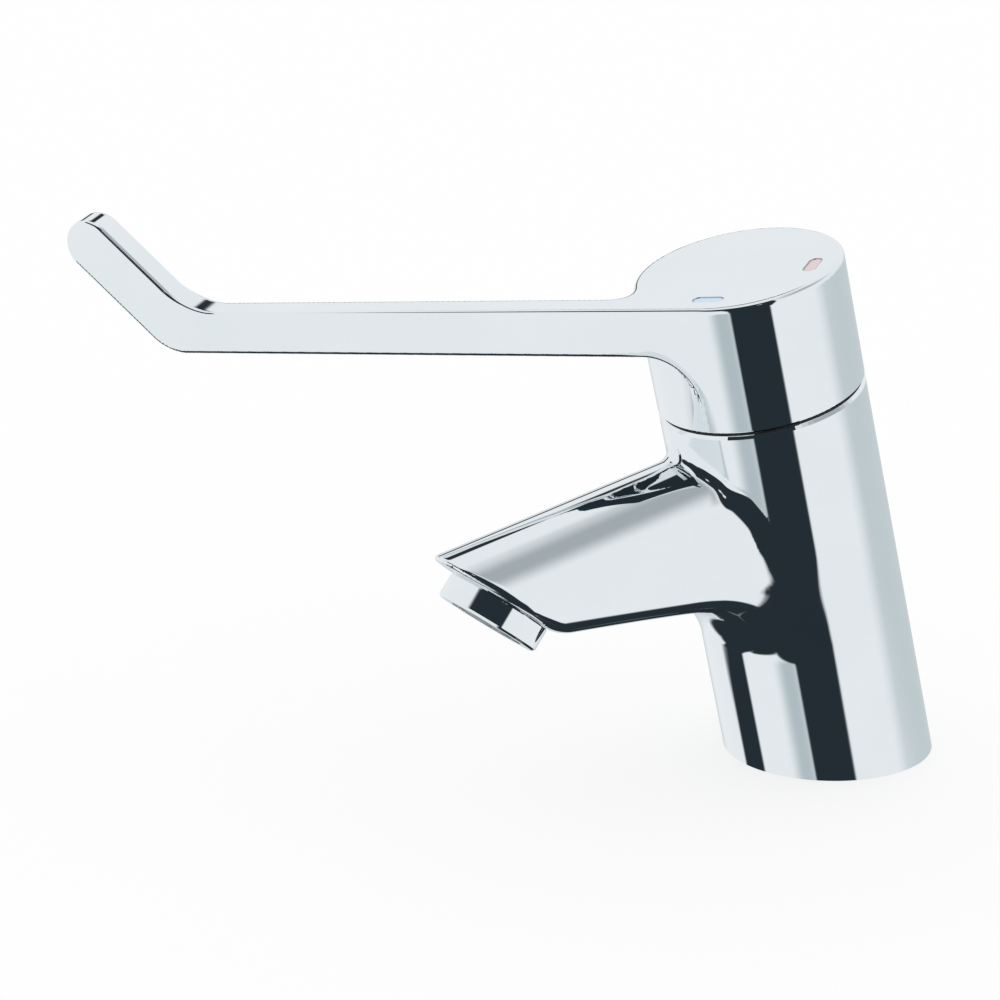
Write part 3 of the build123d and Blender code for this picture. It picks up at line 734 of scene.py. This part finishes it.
def turned_metal(name, dull, bright, smooth, rough, matrix):
    """Bare metal with the rings of the lathe."""
    material, tree, shader, vector = new_material(name, matrix)
    shader.inputs["Metallic"].default_value = 1.0
    share = place_group(tree, handled_surface, vector, Patch_Scale=120.0, Fine_Scale=1500.0, Fine_Share=0.5)
    spread(tree, share, dull, bright, shader.inputs["Base Color"])
    spread(tree, share, smooth, rough, shader.inputs["Roughness"])
    add_bump(tree, shader, place_group(tree, turned_rings, vector, Rings=9000.0), 0.25, 0.00005)
    return material


def moulded(name, dark, light, smooth, rough, grain, bump, level=0.5):
    """Moulded plastic, rubber or fired ceramic: grain, slight clouding and a satin skin."""
    material, tree, shader, vector = new_material(name)
    shader.inputs["Specular IOR Level"].default_value = level
    share = place_group(tree, handled_surface, vector, Patch_Scale=90.0, Fine_Scale=1800.0, Fine_Share=0.6)
    spread(tree, share, dark, light, shader.inputs["Base Color"])
    spread(tree, share, smooth, rough, shader.inputs["Roughness"])
    add_bump(tree, shader, place_group(tree, moulded_grain, vector, Scale=grain), bump, 0.0001)
    return material


def enamel(name, turn, face, cloud, rim):
    """Clear enamel in its pocket: a pale face that darkens towards its edge."""
    material, tree, shader, vector = new_material(name, mark_place(turn, CAP_TOP))
    mask = place_group(tree, enamel_rim, vector, Half_Run=MARK_HALF_RUN * MM, Radius=MARK_RADIUS * MM,
                       Rim=MARK_RIM * MM)
    share = place_group(tree, handled_surface, vector, Patch_Scale=400.0, Fine_Scale=3000.0, Fine_Share=0.5)
    clouded = tree.nodes.new("ShaderNodeMix")
    clouded.data_type = "RGBA"
    clouded.inputs["A"].default_value = (*face, 1.0)
    clouded.inputs["B"].default_value = (*cloud, 1.0)
    tree.links.new(share, clouded.inputs["Factor"])
    edged = tree.nodes.new("ShaderNodeMix")
    edged.data_type = "RGBA"
    edged.inputs["B"].default_value = (*rim, 1.0)
    tree.links.new(clouded.outputs["Result"], edged.inputs["A"])
    tree.links.new(mask, edged.inputs["Factor"])
    tree.links.new(edged.outputs["Result"], shader.inputs["Base Color"])
    spread(tree, share, 0.12, 0.2, shader.inputs["Roughness"])
    shader.inputs["Coat Weight"].default_value = 1.0
    shader.inputs["Coat Roughness"].default_value = 0.05
    return material


chrome = polished_metal("chrome_plate", (0.82, 0.855, 0.87), (0.86, 0.885, 0.90), 0.01, 0.022)
brass = turned_metal("turned_brass", (0.62, 0.44, 0.17), (0.78, 0.58, 0.26), 0.2, 0.32, lean_turn)
steel = turned_metal("bright_steel", (0.55, 0.56, 0.57), (0.68, 0.69, 0.70), 0.16, 0.28, lean_turn)
rubber = moulded("black_rubber", (0.012, 0.012, 0.013), (0.03, 0.03, 0.032), 0.55, 0.75, 5000.0, 0.35, 0.3)
ceramic = moulded("fired_ceramic", (0.78, 0.77, 0.72), (0.9, 0.89, 0.85), 0.12, 0.22, 7000.0, 0.08)
dark_slider = moulded("dark_slider", (0.02, 0.021, 0.022), (0.045, 0.046, 0.048), 0.35, 0.5, 4000.0, 0.2)
slider = moulded("white_slider", (0.72, 0.73, 0.72), (0.85, 0.86, 0.85), 0.35, 0.5, 4000.0, 0.2)
grey_moulding = moulded("grey_moulding", (0.16, 0.17, 0.175), (0.24, 0.25, 0.255), 0.38, 0.55, 3500.0, 0.3)
outlet_moulding = moulded("outlet_moulding", (0.32, 0.335, 0.345), (0.42, 0.435, 0.445), 0.3, 0.45, 3500.0,
                          0.25)
cold_enamel = enamel("cold_enamel", COLD_TURN, (0.48, 0.66, 0.86), (0.60, 0.75, 0.90), (0.03, 0.10, 0.26))
hot_enamel = enamel("hot_enamel", HOT_TURN, (0.66, 0.50, 0.52), (0.74, 0.58, 0.60), (0.20, 0.015, 0.02))

finishes = {
    chrome: ["body_casting", "handle_casting", "aerator_housing", "screw_plug"],
    brass: ["spindle", "cartridge_nut"],
    steel: ["handle_screw", "spindle_clip", "aerator_strainer"],
    rubber: ["base_seal", "port_seal_hot", "port_seal_cold", "port_seal_outlet", "disc_seal_hot",
             "disc_seal_cold", "disc_seal_outlet", "spindle_seal_lower", "spindle_seal_upper",
             "aerator_washer"],
    ceramic: ["fixed_disc", "moving_disc"],
    slider: ["thrust_washer"],
    dark_slider: ["glide_ring"],
    grey_moulding: ["cartridge_base", "cartridge_housing", "disc_carrier", "stop_ring", "flow_regulator"],
    outlet_moulding: ["stream_former"],
    cold_enamel: ["cold_mark"],
    hot_enamel: ["hot_mark"],
}
for finish, names in finishes.items():
    for name in names:
        nodes[name].data.materials.clear()
        nodes[name].data.materials.append(finish)


body_shell = make_body_shell()
shade_from_field(body_shell, body_field, flank_root)
handle_shell = make_handle_shell()
shade_from_field(handle_shell, handle_field)
for shell, node, body in ((body_shell, "body_casting", "tap_body"),
                          (handle_shell, "handle_casting", "handle")):
    shell.data.materials.clear()
    shell.data.materials.append(chrome)
    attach(shell, body)
    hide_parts(node)


# Studio

FLOOR_SIZE = 3.0
FLOOR_GLOW = 0.72
DOME_RADIUS = 4.0


def add_floor():
    """A white floor that takes soft shadows and partly glows where it is seen."""
    bm = bmesh.new()
    bmesh.ops.create_grid(bm, x_segments=1, y_segments=1, size=FLOOR_SIZE)
    floor = link_mesh("floor", bm)
    material = bpy.data.materials.new("floor_white")
    material.use_nodes = True
    tree = material.node_tree
    shader = tree.nodes["Principled BSDF"]
    shader.inputs["Base Color"].default_value = (0.98, 0.98, 0.98, 1.0)
    shader.inputs["Roughness"].default_value = 0.8
    shader.inputs["Specular IOR Level"].default_value = 0.0
    path = tree.nodes.new("ShaderNodeLightPath")
    seen = math_node(tree, "MAXIMUM", path.outputs["Is Glossy Ray"], path.outputs["Is Transmission Ray"])
    shown = math_node(tree, "MAXIMUM", path.outputs["Is Camera Ray"], seen)
    share = math_node(tree, "MULTIPLY", shown, FLOOR_GLOW)
    glow = tree.nodes.new("ShaderNodeEmission")
    blend = tree.nodes.new("ShaderNodeMixShader")
    tree.links.new(share, blend.inputs["Fac"])
    tree.links.new(shader.outputs["BSDF"], blend.inputs[1])
    tree.links.new(glow.outputs["Emission"], blend.inputs[2])
    tree.links.new(blend.outputs["Shader"], tree.nodes["Material Output"].inputs["Surface"])
    floor.data.materials.append(material)
    floor.visible_glossy = False


def add_world():
    world = bpy.data.worlds.new("studio_light")
    bpy.context.scene.world = world
    world.use_nodes = True
    background = world.node_tree.nodes["Background"]
    background.inputs["Color"].default_value = (1.0, 1.0, 1.0, 1.0)
    background.inputs["Strength"].default_value = 1.0


# What the polished metal sees: white cards with darker gaps between them. Each zone is an outline in
# degrees round the tap (0 in front, 90 to its right) and above the horizon, an edge softness and a tone.

WHITE = (0.90, 0.925, 0.94)
DARK = (0.020, 0.030, 0.038)
ZONES = (
    ([(86, -54), (215, -54), (215, -90), (86, -90)], 4, DARK),
    ([(90, 44), (165, 44), (165, 74), (90, 74)], 22, (0.42, 0.46, 0.48)),
    ([(-122, 47), (-115, 42), (-102, 37), (-102, 58), (-122, 58)], 3, DARK),
    ([(-126, 9), (-100, 9), (-100, 19), (-126, 19)], 3, DARK),
    ([(150, -2), (180, 6), (250, -4), (250, -40), (180, -25), (150, -20)], 24, (0.60, 0.66, 0.68)),
    ([(22, -22), (46, -18), (46, -50), (22, -50)], 14, (0.50, 0.57, 0.60)),
    ([(44, -33), (42, -20), (38, -4), (34, 14), (22, 34), (-10, 44), (-30, 47), (-52, 50), (-52, 58),
      (-10, 63), (75, 66), (81, 45), (85, 20), (86, -1), (86, -14), (87, -18), (89, -22), (90, -27),
      (89, -33), (89, -70), (44, -70)], 2.2, DARK),
    ([(-60, -35), (-28, -35), (-28, -90), (93, -90), (93, -60), (44, -44), (10, -62), (-20, -50),
      (-28, -50)], 4, DARK),
    ([(-150, -50), (-135, -38), (-100, -39), (-75, -42), (-60, -40), (-57, -35), (-27, -35),
      (-27, -54), (-16, -56), (-16, -90), (-150, -90)], 3, DARK),
    ([(60, 38), (65, 38), (65, 43), (60, 43)], 1.5, (1.0, 1.0, 1.0)),
)


def cover(points, outline, softness):
    """0 at points outside an outline and 1 inside, with an edge as wide as the softness, all in degrees."""
    inside = np.zeros(len(points), bool)
    nearest = np.full(len(points), 1e9)
    ends = np.roll(outline, -1, axis=0)
    shrink = np.cos(np.radians(points[:, 1]))
    for (ax, ay), (bx, by) in zip(outline, ends):
        crosses = (ay > points[:, 1]) != (by > points[:, 1])
        if ay != by:
            side = ax + (points[:, 1] - ay) * (bx - ax) / (by - ay)
            inside ^= crosses & (points[:, 0] < side)
        run = np.stack([(bx - ax) * shrink, np.full(len(points), float(by - ay))], axis=1)
        offset = np.stack([(points[:, 0] - ax) * shrink, points[:, 1] - ay], axis=1)
        share = np.clip((run * offset).sum(1) / np.maximum((run * run).sum(1), 1e-9), 0, 1)
        nearest = np.minimum(nearest, np.linalg.norm(offset - run * share[:, None], axis=1))
    signed = np.where(inside, nearest, -nearest)
    return ease(signed / softness, -0.5, 0.5)


def zone_tones(turn, rise):
    """The tone of each direction, from the white cards and the zones laid over them in order."""
    tone = np.tile(np.array(WHITE), (len(turn), 1))
    for outline, softness, color in ZONES:
        amount = np.zeros(len(turn))
        for shift in (-360, 0, 360):
            points = np.stack([turn + shift, rise], axis=1)
            amount = np.maximum(amount, cover(points, np.array(outline, float), softness))
        tone = tone + (np.array(color) - tone) * amount[:, None]
    return tone


def card_tones():
    """A glow in the tone that each point of the dome carries."""
    material = bpy.data.materials.new("card_tones")
    material.use_nodes = True
    tree = material.node_tree
    tree.nodes.clear()
    reader = tree.nodes.new("ShaderNodeAttribute")
    reader.attribute_name = "tone"
    glow = tree.nodes.new("ShaderNodeEmission")
    output = tree.nodes.new("ShaderNodeOutputMaterial")
    tree.links.new(reader.outputs["Color"], glow.inputs["Color"])
    tree.links.new(glow.outputs["Emission"], output.inputs["Surface"])
    material.cycles.emission_sampling = "NONE"
    return material


def add_reflection_dome():
    """A dome of cards round the tap that only reflections see."""
    bm = bmesh.new()
    bmesh.ops.create_uvsphere(bm, u_segments=288, v_segments=144, radius=DOME_RADIUS)
    dome = link_mesh("reflection_dome", bm)
    mesh = dome.data
    place = mesh_points(mesh) * MM / DOME_RADIUS
    turn = np.degrees(np.arctan2(place[:, 0], -place[:, 1]))
    rise = np.degrees(np.arcsin(np.clip(place[:, 2], -1, 1)))
    tone = zone_tones(turn, rise)
    colors = mesh.attributes.new("tone", "FLOAT_COLOR", "POINT")
    colors.data.foreach_set("color", np.hstack([tone, np.ones((len(tone), 1))]).ravel())
    mesh.materials.append(card_tones())
    dome.visible_camera = False
    dome.visible_diffuse = False
    dome.visible_shadow = False
    dome.visible_transmission = False


add_floor()
add_world()
add_reflection_dome()
